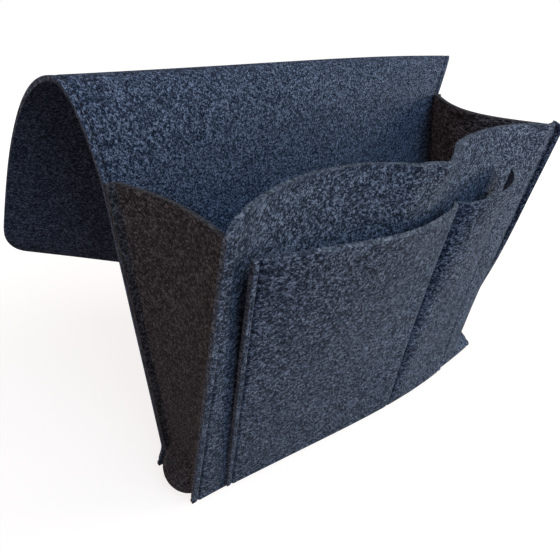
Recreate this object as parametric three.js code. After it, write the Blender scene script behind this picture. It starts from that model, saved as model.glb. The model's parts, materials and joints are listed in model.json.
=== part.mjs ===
// Felt bedside caddy: a pouch of 3 mm felt that hangs beside a bed by the flap folded over its back.
// Units are millimetres, +X to the caddy's right as seen from the front, -Y to the front and +Z up.
// Heights are counted from the lower edge of the panels. The whole caddy is then lowered, so that the
// origin lies on the flat rear face of the back panel, where the caddy rests against the bed.
import * as THREE from 'three';

// Felt and seams
const FELT = 3;
const CLEAR = 0.3;
const FLANGE = 7.5;
const FLANGE_TRIM = 0.5;
const BEND_RADIUS = 3.2;

// Panels
const WIDTH = 320;
const EAR_HEIGHT = 16;
const EAR = 6;
const FRONT_HEIGHT = 222;
const MOUNT_HEIGHT = 105;

// Base: how far its front seam bows forward, off the middle, and how the bow fades up the front
const BASE_BOW = 11;
const BASE_BOW_SKEW = 1.475;
const BASE_BOW_FADE = 1.5;

// Lower corners of the strip: its felt can't stretch round them, so the web bulges out between the seams
const CORNER_RADIUS = 8;
const CORNER_BULGE = 15;
const CORNER_BULGE_SKEW = 2;
const CORNER_BULGE_RISE = 2;
const CORNER_BULGE_RUN = 16;
const CORNER_BULGE_BACK = 14;
const CORNER_BULGE_FRONT = 32;
const CORNER_BULGE_SHAPE = 0.4;
const GUSSET_LEAD = 11;

// Margin of the front that a folded gusset pulls back above the ear
const MARGIN = 50;

// Heights from which the front's seam turns forward, and over which it comes to its full turn
const FIN_FROM = 20;
const FIN_RISE = 140;

// The soft pouch stands a little racked, so each side has its own profile: the depth of the base, how far
// the front leans out and its margin is pulled back, how far the back's edge is drawn in and the front's
// seam turns forward, in degrees, where the gusset ends on the back and below the front's upper edge and
// how it bows, how the sheet rises and reaches back to the fold's crest, and where the flap's free end lies
// from the crest
const LEFT = {
  sign: -1,
  baseDepth: 49.5,
  frontReach: 138,
  marginPull: 0,
  drawIn: 6,
  finTurn: 0,
  frontCorner: 8,
  gussetBack: 211,
  gussetDrop: 9,
  gussetBow: 6,
  foldRise: 51,
  foldReach: 22.5,
  flapReach: 138.5,
  flapFall: 135,
  flapFlare: 27.5,
  flapArch: 41,
  flapTurn: [40, 60],
};
const RIGHT = {
  sign: 1,
  baseDepth: 55,
  frontReach: 104,
  marginPull: 20,
  drawIn: 19,
  finTurn: 60,
  frontCorner: 5,
  gussetBack: 234,
  gussetDrop: 2,
  gussetBow: 24,
  foldRise: 26,
  foldReach: 4.5,
  flapReach: 71.5,
  flapFall: 237,
  flapFlare: -8,
  flapArch: 30,
  flapTurn: [20, 88],
};
const FLAP_CORNER = 30;
const FOLD_SHARE = 0.2;
const FOLD_RISE = 0.56;
const FOLD_LEAD = 0.75;

// Outer pockets: one panel sewn down at both ends, along the divider and into the base seam
const POCKET_LEFT_INSET = 14;
const POCKET_FOOT_INSET = 26;
const POCKET_RIGHT_INSET = 61;
const DIVIDER = 22;
const POCKET_SEAM = 4;
const MOUTH_LEFT_DROP = 19;
const MOUTH_DIVIDER_DROP = 32;
const MOUTH_RIGHT_DROP = 24;
const LEFT_GAPE = 20;
const RIGHT_GAPE = 17;
const GAPE_FADE = 2.4;

// The front panel's upper edge lies back behind each pocket: depth, and its ends from edges and divider
const LEFT_LOBE_DEPTH = 18;
const LEFT_LOBE_INSET = 3;
const LEFT_LOBE_END = 50;
const RIGHT_LOBE_DEPTH = 14;
const RIGHT_LOBE_INSET = 20;
const RIGHT_LOBE_START = 26;
const LOBE_SHAPE = 0.9;
const LOBE_FADE = 2.2;
const LOBE_LIFT = 0.3;

// Grid of each sheet
const FRONT_COLUMNS = 22;
const SEAM_COLUMNS = 2;
const MARGIN_COLUMNS = 8;
const FRONT_ROWS = 10;
const FRONT_ROWS_END = 0.8;
const EAR_ROWS = 4;
const POCKET_LEFT_COLUMNS = 18;
const POCKET_RIGHT_COLUMNS = 12;
const POCKET_ROWS = 9;
const BACK_COLUMNS = 7;
const BACK_ROWS = 4;
const SHEET_COLUMNS = 8;
const RISE_ROWS = 6;
const FALL_ROWS = 3;
const FLAP_ROWS = 6;
const BEND_STEPS = 3;
const WEB_STEPS = 10;
const LEAD_STEPS = 4;
const CORNER_STEPS = 6;
const BULGE_STEPS = 4;
const WALL_STEPS = 10;
const BASE_STEPS = 14;

const HALF = WIDTH / 2;
const HALF_FELT = FELT / 2;
const BACK_MID = -HALF_FELT;
const POCKET_LEFT_TOP = POCKET_LEFT_INSET - HALF;
const POCKET_LEFT_FOOT = POCKET_FOOT_INSET - HALF;
const POCKET_RIGHT = HALF - POCKET_RIGHT_INSET;
const MOUTH_LEFT = FRONT_HEIGHT - MOUTH_LEFT_DROP;
const MOUTH_DIVIDER = FRONT_HEIGHT - MOUTH_DIVIDER_DROP;
const MOUTH_RIGHT = FRONT_HEIGHT - MOUTH_RIGHT_DROP;
const LOBES = [
  { from: LEFT_LOBE_INSET - HALF, to: DIVIDER - LEFT_LOBE_END, depth: LEFT_LOBE_DEPTH },
  { from: DIVIDER - RIGHT_LOBE_START, to: HALF - RIGHT_LOBE_INSET, depth: RIGHT_LOBE_DEPTH },
];

const lerp = (a, b, t) => a + (b - a) * t;
const clamp01 = (t) => Math.min(1, Math.max(0, t));
const smooth = (t) => clamp01(t) ** 2 * (3 - 2 * clamp01(t));
const gussetFront = (side) => FRONT_HEIGHT - side.gussetDrop;
const crest = (side) => [side.foldReach, side.gussetBack + side.foldRise];
const flapEnd = (side) => [side.foldReach + side.flapReach, crest(side)[1] - side.flapFall];
const between = (side, x) => lerp(LEFT[side], RIGHT[side], (x + HALF) / WIDTH);

// A closed felt sheet: the mid-surface at(i, j), sampled on a grid, is given half the felt on each side
function feltSheet(columns, rows, at) {
  const grid = [];
  for (let j = 0; j <= rows; j += 1) {
    for (let i = 0; i <= columns; i += 1) grid.push(new THREE.Vector3(...at(i, j)));
  }
  const index = (i, j) => j * (columns + 1) + i;
  const clampTo = (n, top) => Math.min(top, Math.max(0, n));
  const normal = (i, j) => {
    const along = new THREE.Vector3().subVectors(
      grid[index(clampTo(i + 1, columns), j)], grid[index(clampTo(i - 1, columns), j)]);
    const up = new THREE.Vector3().subVectors(
      grid[index(i, clampTo(j + 1, rows))], grid[index(i, clampTo(j - 1, rows))]);
    return along.cross(up).normalize();
  };
  const positions = [];
  for (const face of [1, -1]) {
    for (let j = 0; j <= rows; j += 1) {
      for (let i = 0; i <= columns; i += 1) {
        const point = grid[index(i, j)].clone().addScaledVector(normal(i, j), face * HALF_FELT);
        positions.push(point.x, point.y, point.z);
      }
    }
  }
  const far = grid.length;
  const triangles = [];
  const quad = (a, b, c, d) => triangles.push(a, b, c, a, c, d);
  for (let j = 0; j < rows; j += 1) {
    for (let i = 0; i < columns; i += 1) {
      const corners = [index(i, j), index(i + 1, j), index(i + 1, j + 1), index(i, j + 1)];
      quad(...corners);
      quad(...corners.map((n) => n + far).reverse());
    }
  }
  const wall = (a, b) => quad(a, a + far, b + far, b);
  for (let i = 0; i < columns; i += 1) {
    wall(index(i, 0), index(i + 1, 0));
    wall(index(i + 1, rows), index(i, rows));
  }
  for (let j = 0; j < rows; j += 1) {
    wall(index(columns, j), index(columns, j + 1));
    wall(index(0, j + 1), index(0, j));
  }
  const geometry = new THREE.BufferGeometry();
  geometry.setAttribute('position', new THREE.Float32BufferAttribute(positions, 3));
  geometry.setIndex(triangles);
  geometry.computeVertexNormals();
  return geometry;
}

// Half width of the back panel at a height: an ear at the foot, and drawn in by the gusset above it
const backHalf = (side, z) =>
  HALF - lerp(EAR, side.drawIn, clamp01(z / side.gussetBack)) * smooth(z / EAR_HEIGHT);

// How far a rounded corner cuts in at a distance from the edge
function cornerCut(distance, radius) {
  const inside = Math.max(0, radius - distance);
  return radius - Math.sqrt(radius ** 2 - inside ** 2);
}

// Rows that crowd into a rounded corner at the far end of a length
const CORNER_ROWS = [1, 0.6, 0.3, 0.1, 0];
const cornerRows = (length, radius) => CORNER_ROWS.map((share) => length - share * radius);

const evenRows = (from, to, count) => {
  const rows = [];
  for (let n = 0; n <= count; n += 1) rows.push(lerp(from, to, n / count));
  return rows;
};

// Turn of the front's seam, which stands forward of the panel where the gusset is drawn in
const SEAM_HALF = HALF - FLANGE;
const finTurn = (side, z) => THREE.MathUtils.degToRad(side.finTurn) * smooth((z - FIN_FROM) / FIN_RISE);

function acrossFront(flat, z) {
  const side = flat < 0 ? LEFT : RIGHT;
  const past = Math.max(0, Math.abs(flat) - SEAM_HALF);
  return side.sign * (Math.min(Math.abs(flat), SEAM_HALF) + past * Math.cos(finTurn(side, z)));
}

function finForward(x, z) {
  const side = x < 0 ? LEFT : RIGHT;
  return Math.max(0, Math.abs(x) - SEAM_HALF) * Math.tan(finTurn(side, z));
}

// The front panel's mid-surface
function lobe(x) {
  let depth = 0;
  for (const { from, to, depth: full } of LOBES) {
    const across = ((x - from) / (to - from)) * 2 - 1;
    depth += full * Math.max(0, 1 - across ** 2) ** LOBE_SHAPE;
  }
  return depth;
}

function marginPull(x, z) {
  const side = x < 0 ? LEFT : RIGHT;
  const near = Math.max(0, (Math.abs(x) - HALF + MARGIN) / MARGIN);
  return side.marginPull * near ** 2 * smooth(z / EAR_HEIGHT) * Math.max(0, 1 - z / FRONT_HEIGHT);
}

function frontPlane(x, z) {
  const rise = z / FRONT_HEIGHT;
  const across = clamp01((x + HALF) / WIDTH);
  const bow = BASE_BOW * Math.sin(Math.PI * across ** BASE_BOW_SKEW) * Math.max(0, 1 - rise) ** BASE_BOW_FADE;
  const lean = lerp(between('baseDepth', x), between('frontReach', x), rise);
  return BACK_MID - lean - bow + marginPull(x, z) - finForward(x, z);
}

const frontY = (x, z) => frontPlane(x, z) + lobe(x) * Math.max(0, z / FRONT_HEIGHT) ** LOBE_FADE;

// Distance along Y that keeps a gap, square to the leaning front, between two felts that lie on it
function frontStep(x, z, gap) {
  const slopeX = frontY(x + 1, z) - frontY(x, z);
  const slopeZ = frontY(x, z + 1) - frontY(x, z);
  return gap * Math.hypot(1, slopeX, slopeZ);
}

function frontPanel() {
  const rows = [
    ...evenRows(0, EAR_HEIGHT, EAR_ROWS).slice(0, -1),
    ...evenRows(EAR_HEIGHT, FRONT_HEIGHT * FRONT_ROWS_END, FRONT_ROWS),
    ...cornerRows(FRONT_HEIGHT, LEFT.frontCorner),
  ];
  const seam = FLANGE / WIDTH;
  const margin = MARGIN / WIDTH;
  const leftColumns = [
    ...evenRows(0, seam, SEAM_COLUMNS).slice(0, -1),
    ...evenRows(seam, margin, MARGIN_COLUMNS),
  ];
  const columns = [
    ...leftColumns.slice(0, -1),
    ...evenRows(margin, 1 - margin, FRONT_COLUMNS),
    ...leftColumns.slice(0, -1).reverse().map((share) => 1 - share),
  ];
  return feltSheet(columns.length - 1, rows.length - 1, (i, j) => {
    const z = rows[j];
    const [left, right] = [LEFT, RIGHT].map((side) =>
      side.sign * (HALF - cornerCut(FRONT_HEIGHT - z, side.frontCorner)));
    const x = acrossFront(lerp(left, right, columns[i]), z);
    const lifted = z + LOBE_LIFT * lobe(x) * (z / FRONT_HEIGHT) ** LOBE_FADE;
    return [x, frontY(x, z), lifted];
  });
}

// The pocket panel's mid-surface: it follows the front panel and gapes forward at each mouth
const pocketLeft = (z) => lerp(POCKET_LEFT_FOOT, POCKET_LEFT_TOP, z / MOUTH_LEFT);

function mouthHeight(x) {
  const left = (x - POCKET_LEFT_TOP) / (DIVIDER - POCKET_LEFT_TOP);
  const right = (x - DIVIDER) / (POCKET_RIGHT - DIVIDER);
  if (x < DIVIDER) return lerp(MOUTH_LEFT, MOUTH_DIVIDER, smooth(left));
  return lerp(MOUTH_DIVIDER, MOUTH_RIGHT, smooth(right));
}

function gape(x, z, share) {
  const from = x < DIVIDER ? pocketLeft(z) + POCKET_SEAM : DIVIDER;
  const to = x < DIVIDER ? DIVIDER : POCKET_RIGHT - POCKET_SEAM;
  const across = clamp01((x - from) / (to - from)) * 2 - 1;
  const full = x < DIVIDER ? LEFT_GAPE : RIGHT_GAPE;
  return full * (1 - across ** 2) * share ** GAPE_FADE;
}

function pocketPanel() {
  return feltSheet(POCKET_LEFT_COLUMNS + POCKET_RIGHT_COLUMNS, POCKET_ROWS, (i, j) => {
    const share = j / POCKET_ROWS;
    const edge = pocketLeft(share * MOUTH_LEFT);
    const x = i < POCKET_LEFT_COLUMNS
      ? lerp(edge, DIVIDER, i / POCKET_LEFT_COLUMNS)
      : lerp(DIVIDER, POCKET_RIGHT, (i - POCKET_LEFT_COLUMNS) / POCKET_RIGHT_COLUMNS);
    const z = share * mouthHeight(x);
    return [x, frontPlane(x, z) - frontStep(x, z, FELT + CLEAR) - gape(x, z, share), z];
  });
}

// The long sheet of the back: flat behind the pouch, then over the fold and down the flap
function backPanel() {
  return feltSheet(BACK_COLUMNS, EAR_ROWS + BACK_ROWS, (i, j) => {
    const edge = (side) => {
      const z = j < EAR_ROWS
        ? (j / EAR_ROWS) * EAR_HEIGHT
        : lerp(EAR_HEIGHT, side.gussetBack, (j - EAR_ROWS) / BACK_ROWS);
      return new THREE.Vector3(side.sign * backHalf(side, z), BACK_MID, z);
    };
    return edge(LEFT).lerp(edge(RIGHT), i / BACK_COLUMNS).toArray();
  });
}

function bezier(points, t) {
  const s = 1 - t;
  const weights = [s ** 3, 3 * s * s * t, 3 * s * t * t, t ** 3];
  return [0, 1].map((axis) => points.reduce((sum, point, n) => sum + weights[n] * point[axis], 0));
}

// One side's profile in Y and Z: up to the crest, and from the crest to the flap's free end
function risingCurve(side) {
  const foot = [BACK_MID, side.gussetBack];
  const [y, z] = crest(side);
  return [foot, [foot[0], lerp(foot[1], z, FOLD_RISE)], [lerp(y, foot[0], FOLD_LEAD), z], [y, z]];
}

function fallingCurve(side) {
  const [y, z] = crest(side);
  const [endY, endZ] = flapEnd(side);
  const [turnY, turnZ] = side.flapTurn;
  return [[y, z], [y + side.flapArch, z], [endY - turnY, endZ + turnZ], [endY, endZ]];
}

// A point of the sheet past the back panel: t runs from -1 at the gussets over 0 at the crest to 1
function sheetPoint(u, t, cut) {
  const sidePoint = (side) => {
    const [y, z] = t < 0 ? bezier(risingCurve(side), 1 + t) : bezier(fallingCurve(side), t);
    const half = t < 0 ? lerp(HALF, HALF - side.drawIn, -t) : HALF + side.flapFlare * t;
    return new THREE.Vector3(side.sign * (half - cut), y, z);
  };
  return sidePoint(LEFT).lerp(sidePoint(RIGHT), (u + 1) / 2).toArray();
}

const FLAP_LENGTH = Math.hypot(LEFT.flapReach, LEFT.flapFall);
const JOIN_SAMPLE = 0.01;
const JOIN = (CLEAR * 2 * JOIN_SAMPLE) / Math.hypot(
  ...bezier(fallingCurve(RIGHT), FOLD_SHARE + JOIN_SAMPLE).map((value, axis) =>
    value - bezier(fallingCurve(RIGHT), FOLD_SHARE - JOIN_SAMPLE)[axis]));
const RISE_JOIN = CLEAR / (3 * FOLD_RISE * Math.min(LEFT.foldRise, RIGHT.foldRise));

function topFold() {
  const rows = [
    ...evenRows(-1 + RISE_JOIN, 0, RISE_ROWS),
    ...evenRows(0, FOLD_SHARE - JOIN, FALL_ROWS).slice(1),
  ];
  return feltSheet(SHEET_COLUMNS, rows.length - 1, (i, j) =>
    sheetPoint((i / SHEET_COLUMNS) * 2 - 1, rows[j], 0));
}

function flapSheet() {
  const corner = FLAP_CORNER / FLAP_LENGTH;
  const rows = [
    ...evenRows(FOLD_SHARE + JOIN, 1 - corner, FLAP_ROWS).slice(0, -1),
    ...cornerRows(1, corner),
  ];
  return feltSheet(SHEET_COLUMNS, rows.length - 1, (i, j) => {
    const cut = cornerCut((1 - rows[j]) * FLAP_LENGTH, FLAP_CORNER);
    return sheetPoint((i / SHEET_COLUMNS) * 2 - 1, rows[j], cut);
  });
}

// The strip that runs down one side, under the base and up the other: a channel whose flanges turn out
// along the back and front panels. A section has its web's ends on the two panels, as X and Z, the outward
// direction of its flanges, and how far its web bows in and bulges out
function stripSection(webBack, webFront, outward, bow, along, fin = 0) {
  const place = (out, share) => [0, 1].map((axis) =>
    lerp(webBack[axis], webFront[axis], share) + outward[axis] * out);
  const point = (out, share, y) => {
    const [x, z] = place(out, share);
    return [x, y, z];
  };
  const backY = BACK_MID - FELT - CLEAR;
  const flangeY = (out) => {
    const [x, z] = place(out, 1);
    return frontY(x, z) + frontStep(x, z, FELT + CLEAR * (1.5 + fin));
  };
  const bendTurns = evenRows(0, Math.PI / 2, BEND_STEPS);
  const webFrom = backY - BEND_RADIUS;
  const webTo = flangeY(0) + BEND_RADIUS;
  const section = [point(FLANGE - FLANGE_TRIM, 0, backY)];
  for (const turn of bendTurns) {
    section.push(point(BEND_RADIUS * (1 - Math.sin(turn)), 0, backY - BEND_RADIUS * (1 - Math.cos(turn))));
  }
  for (let n = 1; n < WEB_STEPS; n += 1) {
    const share = n / WEB_STEPS;
    const out = cornerBulge(along, share) - bow * Math.sin(share * Math.PI);
    section.push(point(out, share, lerp(webFrom, webTo, share)));
  }
  for (const turn of bendTurns) {
    const out = BEND_RADIUS * (1 - Math.cos(turn));
    section.push(point(out, 1, lerp(webTo, flangeY(out), Math.sin(turn))));
  }
  const frontReach = (FLANGE - FLANGE_TRIM) * Math.cos(fin);
  section.push(point(frontReach, 1, flangeY(frontReach)));
  return section;
}

const SIDE_FOOT = FLANGE + CORNER_RADIUS;
const FRONT_CORNER_X = HALF - FLANGE - CORNER_RADIUS;
const BACK_CORNER_X = FRONT_CORNER_X - EAR;
const HALF_CORNER = (CORNER_RADIUS * Math.PI) / 4;

// Bulge of the web at a length along the strip from the middle of a corner, and a share from back to front
const cornerBulge = (along, share) => {
  const above = along - CORNER_BULGE_RISE;
  const reach = above > 0 ? lerp(CORNER_BULGE_BACK, CORNER_BULGE_FRONT, share) : CORNER_BULGE_RUN;
  const crown = Math.sin(share * Math.PI) ** CORNER_BULGE_SHAPE;
  const height = CORNER_BULGE + CORNER_BULGE_SKEW * (1 - share);
  return height * crown * (1 - smooth(Math.abs(above) / reach));
};

function gusset(side) {
  const sections = evenRows(GUSSET_LEAD, 0, LEAD_STEPS).slice(0, -1).map((lead) => {
    const web = [BACK_CORNER_X, FRONT_CORNER_X].map((x) => [side.sign * (x - lead), FLANGE]);
    return stripSection(...web, [0, -1], 0, -HALF_CORNER - lead);
  });
  for (const turn of evenRows(Math.PI / 2, 0, CORNER_STEPS)) {
    const outward = [side.sign * Math.cos(turn), -Math.sin(turn)];
    const web = [BACK_CORNER_X, FRONT_CORNER_X].map((x) =>
      [side.sign * x + CORNER_RADIUS * outward[0], SIDE_FOOT + CORNER_RADIUS * outward[1]]);
    sections.push(stripSection(...web, outward, 0, HALF_CORNER - turn * CORNER_RADIUS));
  }
  const bulgeShare = (CORNER_BULGE_RISE + CORNER_BULGE_FRONT) / gussetFront(side);
  const shares = [...evenRows(0, bulgeShare, BULGE_STEPS), ...evenRows(bulgeShare, 1, WALL_STEPS).slice(1)];
  for (const share of shares.slice(1)) {
    const back = lerp(SIDE_FOOT, side.gussetBack, share);
    const front = lerp(SIDE_FOOT, gussetFront(side), share);
    sections.push(stripSection(
      [side.sign * (backHalf(side, back) - FLANGE), back],
      [side.sign * SEAM_HALF, front],
      [side.sign, 0], side.gussetBow * share, HALF_CORNER + front - SIDE_FOOT, finTurn(side, front)));
  }
  const columns = sections[0].length - 1;
  const mirrored = (i) => (side.sign > 0 ? i : columns - i);
  return feltSheet(columns, sections.length - 1, (i, j) => sections[j][mirrored(i)]);
}

function baseStrip() {
  const sections = evenRows(-1, 1, BASE_STEPS).map((across) => {
    const web = [BACK_CORNER_X, FRONT_CORNER_X].map((x) => [across * (x - GUSSET_LEAD - CLEAR), FLANGE]);
    const toCorner = FRONT_CORNER_X - Math.abs(web[1][0]);
    return stripSection(...web, [0, -1], 0, -HALF_CORNER - toCorner);
  });
  return feltSheet(sections[0].length - 1, BASE_STEPS, (i, j) => sections[j][i]);
}

const NAVY_FELT = 0x3b414f;
const CHARCOAL_FELT = 0x2f2e33;
const FELT_ROUGHNESS = 0.95;

function feltPiece(name, geometry, color) {
  const material = new THREE.MeshStandardMaterial({ color, roughness: FELT_ROUGHNESS, metalness: 0 });
  const mesh = new THREE.Mesh(geometry, material);
  mesh.name = name;
  return mesh;
}

const caddy = new THREE.Group();
caddy.add(
  feltPiece('back_panel', backPanel(), NAVY_FELT),
  feltPiece('top_fold', topFold(), NAVY_FELT),
  feltPiece('flap', flapSheet(), NAVY_FELT),
  feltPiece('front_panel', frontPanel(), NAVY_FELT),
  feltPiece('pocket_panel', pocketPanel(), NAVY_FELT),
  feltPiece('left_gusset', gusset(LEFT), CHARCOAL_FELT),
  feltPiece('right_gusset', gusset(RIGHT), CHARCOAL_FELT),
  feltPiece('base_strip', baseStrip(), CHARCOAL_FELT),
);
caddy.position.z = -MOUNT_HEIGHT;

export default caddy;
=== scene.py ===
"""Felt bedside caddy: the soft look of the pouch, its pockets, its back sheet with the flap, and its seams.

Sizes are in millimetres, counted as on the pattern: heights from the lower edge of the panels, +X to the
right seen from the front, -Y to the front. Each piece is put into metres and lowered by the mount height
when its mesh is made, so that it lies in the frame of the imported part.
"""

from __future__ import annotations

import json
import logging
import math
from dataclasses import dataclass, field
from enum import Enum
from typing import Callable, Mapping, Sequence

import bmesh
import bpy
from mathutils import Matrix, Vector, noise

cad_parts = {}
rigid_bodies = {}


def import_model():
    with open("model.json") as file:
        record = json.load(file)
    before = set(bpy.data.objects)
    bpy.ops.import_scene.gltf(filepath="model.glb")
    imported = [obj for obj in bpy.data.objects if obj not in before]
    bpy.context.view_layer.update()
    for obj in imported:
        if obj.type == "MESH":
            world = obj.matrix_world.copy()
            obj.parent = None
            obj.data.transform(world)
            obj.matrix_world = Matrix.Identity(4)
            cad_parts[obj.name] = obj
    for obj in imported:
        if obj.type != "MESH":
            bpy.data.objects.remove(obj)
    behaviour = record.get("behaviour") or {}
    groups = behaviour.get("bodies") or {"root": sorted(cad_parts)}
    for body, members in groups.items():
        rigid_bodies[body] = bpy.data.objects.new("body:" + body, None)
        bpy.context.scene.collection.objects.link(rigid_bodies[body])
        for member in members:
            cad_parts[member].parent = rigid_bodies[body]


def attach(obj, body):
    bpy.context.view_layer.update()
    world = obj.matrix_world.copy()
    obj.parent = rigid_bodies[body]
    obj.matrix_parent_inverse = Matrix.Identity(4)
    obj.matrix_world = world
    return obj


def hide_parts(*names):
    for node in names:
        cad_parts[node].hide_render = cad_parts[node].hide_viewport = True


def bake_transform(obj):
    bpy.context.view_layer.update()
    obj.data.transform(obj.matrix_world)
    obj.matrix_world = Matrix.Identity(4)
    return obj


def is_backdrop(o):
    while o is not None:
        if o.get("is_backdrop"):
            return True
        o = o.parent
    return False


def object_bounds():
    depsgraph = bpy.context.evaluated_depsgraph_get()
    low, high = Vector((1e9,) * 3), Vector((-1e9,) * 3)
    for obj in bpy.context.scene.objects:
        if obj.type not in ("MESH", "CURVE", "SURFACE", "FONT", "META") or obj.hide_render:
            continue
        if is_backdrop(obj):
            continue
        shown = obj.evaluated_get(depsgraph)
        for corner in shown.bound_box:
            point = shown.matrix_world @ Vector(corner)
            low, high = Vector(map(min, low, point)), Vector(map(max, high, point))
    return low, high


LOG = logging.getLogger("bedside_caddy")
MM = 0.001

Place = Callable[[float, float], Vector]
Share = Callable[[float, float], float]
Triple = tuple[float, float, float]
Colour = tuple[float, float, float, float]
Spot = tuple[Vector, Vector]
Socket = bpy.types.NodeSocket
Inputs = Mapping[str | int, object]
FACES = (1, -1)


def lerp(a: float, b: float, t: float) -> float:
    """Value between a and b at share t."""
    return a + (b - a) * t


def clamp01(t: float) -> float:
    """The share t, kept from 0 to 1."""
    return min(1.0, max(0.0, t))


def smooth(t: float) -> float:
    """Share that starts and ends gently."""
    t = clamp01(t)
    return t * t * (3 - 2 * t)


def eased_back(share: float) -> float:
    """The value that smooth() takes to this share."""
    return 0.5 - math.sin(math.asin(1 - 2 * share) / 3)


def bezier(points: Sequence[tuple[float, float]], t: float) -> tuple[float, float]:
    """Point of a cubic curve in Y and Z.

    Args:
        points: The four control points.
        t: Share of the curve, from 0 to 1.

    Returns:
        The point as Y and Z.
    """
    s = 1 - t
    weights = (s**3, 3 * s * s * t, 3 * s * t * t, t**3)
    return (
        sum(w * p[0] for w, p in zip(weights, points)),
        sum(w * p[1] for w, p in zip(weights, points)),
    )


def spaced(marks: Sequence[float], steps: Sequence[float]) -> list[float]:
    """Grid lines that are close together where a sheet needs detail.

    Args:
        marks: The ends of the stretches, in order.
        steps: The longest step in each stretch.

    Returns:
        The grid lines, from the first mark to the last.
    """
    lines = [marks[0]]
    for start, end, step in zip(marks, marks[1:], steps):
        count = max(1, math.ceil((end - start) / step))
        lines += [lerp(start, end, share) for share in shares(count)[1:]]
    return lines


def shares(count: int) -> list[float]:
    """Shares from 0 to 1 in even steps."""
    return [n / count for n in range(count + 1)]


def lengths(line: Sequence[Vector]) -> list[float]:
    """Length along a line up to each of its points."""
    marks = [0.0]
    for a, b in zip(line, line[1:]):
        marks.append(marks[-1] + (b - a).length)
    return marks


def mesh_of(name: str, bm: bmesh.types.BMesh) -> bpy.types.Mesh:
    """Keep a worked mesh under a name."""
    mesh = bpy.data.meshes.new(name)
    bm.to_mesh(mesh)
    bm.free()
    return mesh


def put(name: str, data: bpy.types.ID) -> bpy.types.Object:
    """Put a new object with this data into the scene."""
    made = bpy.data.objects.new(name, data)
    bpy.context.scene.collection.objects.link(made)
    return made


def aim(thing: bpy.types.Object, at: Triple, direction: Vector) -> None:
    """Put a lamp or the camera in its place and turn it to look in a direction."""
    thing.location = at
    thing.rotation_mode = "QUATERNION"
    thing.rotation_quaternion = direction.to_track_quat("-Z", "Y")


class Felt(Enum):
    """The two felts that the caddy is cut from, named as the record's material slots. The charcoal on the
    gusset strip is painted shade: it is the navy felt as it looks in the warm shade on the pouch's sides,
    set down as a darker, warmer felt.
    """

    NAVY = "navy_felt"
    CHARCOAL_PAINTED_SHADE = "charcoal_felt"


class NodeBench:
    """Lays out shader nodes and joins them."""

    sway_fineness = 1.7
    sway_reach = 0.6

    def __init__(self, owner: bpy.types.Material | bpy.types.World) -> None:
        """Start with no nodes.

        Args:
            owner: The material or the world whose nodes are laid out.
        """
        owner.use_nodes = True
        self.tree = owner.node_tree
        self.tree.nodes.clear()

    def feed(self, node: bpy.types.Node, inputs: Inputs) -> None:
        """Set the inputs of a node.

        Args:
            node: The node.
            inputs: By name or number, an input's value or the socket that is joined to it.
        """
        for key, value in inputs.items():
            if isinstance(value, Socket):
                self.tree.links.new(value, node.inputs[key])
            else:
                node.inputs[key].default_value = value

    def add(self, kind: str, inputs: Inputs | None = None, **settings: object) -> bpy.types.Node:
        """Put down one node.

        Args:
            kind: Blender's name of the node type.
            inputs: What its inputs are set to, as in feed.
            settings: Properties to set on the node.

        Returns:
            The new node.
        """
        node = self.tree.nodes.new(kind)
        for name, value in settings.items():
            setattr(node, name, value)
        self.feed(node, inputs or {})
        return node

    def math(self, operation: str, a: object, b: object) -> Socket:
        """Result of an operation, such as MULTIPLY, on two values, each a number or a socket."""
        return self.add("ShaderNodeMath", {0: a, 1: b}, operation=operation).outputs[0]

    def noise(self, place: Socket, scale: float, detail: float, warp: float) -> Socket:
        """Cloudy noise.

        Args:
            place: Coordinates to read.
            scale: Grains to the metre.
            detail: Finer layers added.
            warp: How far the grains curl.

        Returns:
            The noise value, from 0 to 1.
        """
        inputs = {"Vector": place, "Scale": scale, "Detail": detail, "Distortion": warp}
        return self.add("ShaderNodeTexNoise", inputs).outputs["Fac"]

    def flecks(self, place: Socket, scale: float) -> Socket:
        """Small grains, each with its own tone, like the ends of mixed fibres.

        Args:
            place: Coordinates to read.
            scale: Grains to the metre.

        Returns:
            The tone, from 0 to 1.
        """
        sway = self.add("ShaderNodeTexNoise", {"Vector": place, "Scale": scale * self.sway_fineness})
        swayed = {0: sway.outputs["Color"], 1: (self.sway_reach / scale,) * 3, 2: place}
        shift = self.add("ShaderNodeVectorMath", swayed, operation="MULTIPLY_ADD")
        grains = self.add("ShaderNodeTexVoronoi", {"Vector": shift.outputs["Vector"], "Scale": scale})
        return self.add("ShaderNodeSeparateColor", {"Color": grains.outputs["Color"]}).outputs["Red"]

    def step(self, value: Socket, low: float, high: float) -> Socket:
        """A soft step from 0 at the low value to 1 at the high one."""
        inputs = {"Value": value, "From Min": low, "From Max": high}
        return self.add("ShaderNodeMapRange", inputs, interpolation_type="SMOOTHSTEP").outputs["Result"]

    def mix(self, share: Socket, a: object, b: object) -> Socket:
        """Two colours mixed.

        Args:
            share: How much of the second colour shows.
            a: First colour, or a socket.
            b: Second colour, or a socket.

        Returns:
            The mixed colour.
        """
        node = self.add("ShaderNodeMix", {"Factor": share}, data_type="RGBA")
        first, second = (k for k, socket in enumerate(node.inputs) if socket.type == "RGBA")
        self.feed(node, {first: a, second: b})
        return next(socket for socket in node.outputs if socket.type == "RGBA")

    def seen(self) -> Socket:
        """1 for what the camera sees, straight, in a gloss or through a clear piece, and else 0."""
        rays = self.add("ShaderNodeLightPath").outputs
        straight = self.math("MAXIMUM", rays["Is Camera Ray"], rays["Is Glossy Ray"])
        return self.math("MAXIMUM", straight, rays["Is Transmission Ray"])

    def surface(self, inputs: Inputs, height: Socket, strength: float, depth: float) -> None:
        """End a material with its surface.

        Args:
            inputs: What the surface's inputs are set to.
            height: The relief, from 0 to 1.
            strength: How much of the relief shows.
            depth: Height of the relief, in metres.
        """
        bump = self.add("ShaderNodeBump", {"Strength": strength, "Distance": depth, "Height": height})
        surface = self.add("ShaderNodeBsdfPrincipled", {**inputs, "Normal": bump.outputs["Normal"]})
        self.add("ShaderNodeOutputMaterial", {"Surface": surface.outputs["BSDF"]})


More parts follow.
